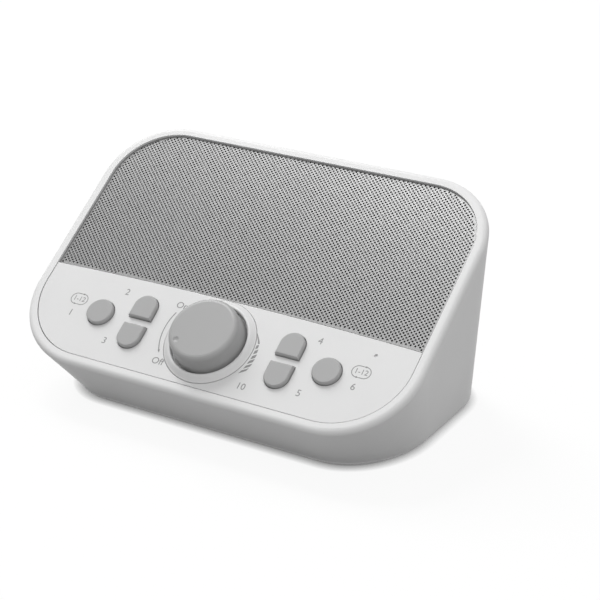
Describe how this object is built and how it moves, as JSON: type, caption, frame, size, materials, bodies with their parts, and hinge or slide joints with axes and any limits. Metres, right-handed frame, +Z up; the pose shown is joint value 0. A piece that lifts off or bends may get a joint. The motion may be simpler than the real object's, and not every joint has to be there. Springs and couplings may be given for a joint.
{
  "type": "white noise sound machine",
  "caption": "Wedge-shaped table sound machine with a sloped face: perforated speaker grille above a panel with a volume knob and sound buttons.",
  "frame": {"origin": "on the table under the middle of the object's bounding box", "axes": "+Z up, +X along the width to the right seen from the front, front towards -Y"},
  "size_m": [0.16, 0.1077, 0.085],
  "materials": {
    "white_abs": "fine matte",
    "panel_abs": "satin",
    "grey_abs": "fine matte",
    "perforated_steel": "silver grey powder coat",
    "black_cloth": "non-woven",
    "black_nylon": "moulded",
    "circuit_board": "solder resist",
    "zinc_steel": "zinc plated",
    "ferrite": "pressed ferrite with steel plates",
    "paper_cone": "pressed paper",
    "rubber": "matte",
    "lamp_resin": "diffused"
  },
  "bodies": {
    "cabinet": {"housing": "white_abs", "control_panel": "panel_abs", "speaker_grille": "perforated_steel", "grille_cloth": "black_cloth", "pot_body": "zinc_steel", "pot_nut": "zinc_steel", "control_board": "circuit_board", "control_board_screws": "zinc_steel", "indicator_lamp": "lamp_resin", "speaker_frame": "zinc_steel", "speaker_magnet": "ferrite", "speaker_cone": "paper_cone", "speaker_screws": "zinc_steel", "bottom_cover": "white_abs", "cover_screws": "zinc_steel", "main_board": "circuit_board", "main_board_parts": "black_nylon", "main_board_screws": "zinc_steel", "power_socket": "black_nylon", "left_round_switch": "black_nylon", "left_upper_switch": "black_nylon", "left_lower_switch": "black_nylon", "right_round_switch": "black_nylon", "right_upper_switch": "black_nylon", "right_lower_switch": "black_nylon", "left_front_foot": "rubber", "right_front_foot": "rubber", "left_rear_foot": "rubber", "right_rear_foot": "rubber"},
    "knob": {"volume_knob": "grey_abs", "pot_shaft": "zinc_steel"},
    "left_round_key": {"left_round_button": "grey_abs", "left_round_plunger": "black_nylon"},
    "left_upper_key": {"left_upper_button": "grey_abs", "left_upper_plunger": "black_nylon"},
    "left_lower_key": {"left_lower_button": "grey_abs", "left_lower_plunger": "black_nylon"},
    "right_round_key": {"right_round_button": "grey_abs", "right_round_plunger": "black_nylon"},
    "right_upper_key": {"right_upper_button": "grey_abs", "right_upper_plunger": "black_nylon"},
    "right_lower_key": {"right_lower_button": "grey_abs", "right_lower_plunger": "black_nylon"}
  },
  "joints": [
    {"name": "volume_turn", "type": "hinge", "parent": "cabinet", "child": "knob", "pos_m": [0, -0.0358, 0.03457], "axis": [0, -0.5878, 0.809], "range_deg": [-264, 0]},
    {"name": "left_round_press", "type": "slide", "parent": "cabinet", "child": "left_round_key", "axis": [0, -0.5878, 0.809], "range_m": [-0.0005, 0], "stiffness_N_per_m": 600},
    {"name": "left_upper_press", "type": "slide", "parent": "cabinet", "child": "left_upper_key", "axis": [0, -0.5878, 0.809], "range_m": [-0.0005, 0], "stiffness_N_per_m": 600},
    {"name": "left_lower_press", "type": "slide", "parent": "cabinet", "child": "left_lower_key", "axis": [0, -0.5878, 0.809], "range_m": [-0.0005, 0], "stiffness_N_per_m": 600},
    {"name": "right_round_press", "type": "slide", "parent": "cabinet", "child": "right_round_key", "axis": [0, -0.5878, 0.809], "range_m": [-0.0005, 0], "stiffness_N_per_m": 600},
    {"name": "right_upper_press", "type": "slide", "parent": "cabinet", "child": "right_upper_key", "axis": [0, -0.5878, 0.809], "range_m": [-0.0005, 0], "stiffness_N_per_m": 600},
    {"name": "right_lower_press", "type": "slide", "parent": "cabinet", "child": "right_lower_key", "axis": [0, -0.5878, 0.809], "range_m": [-0.0005, 0], "stiffness_N_per_m": 600}
  ]
}
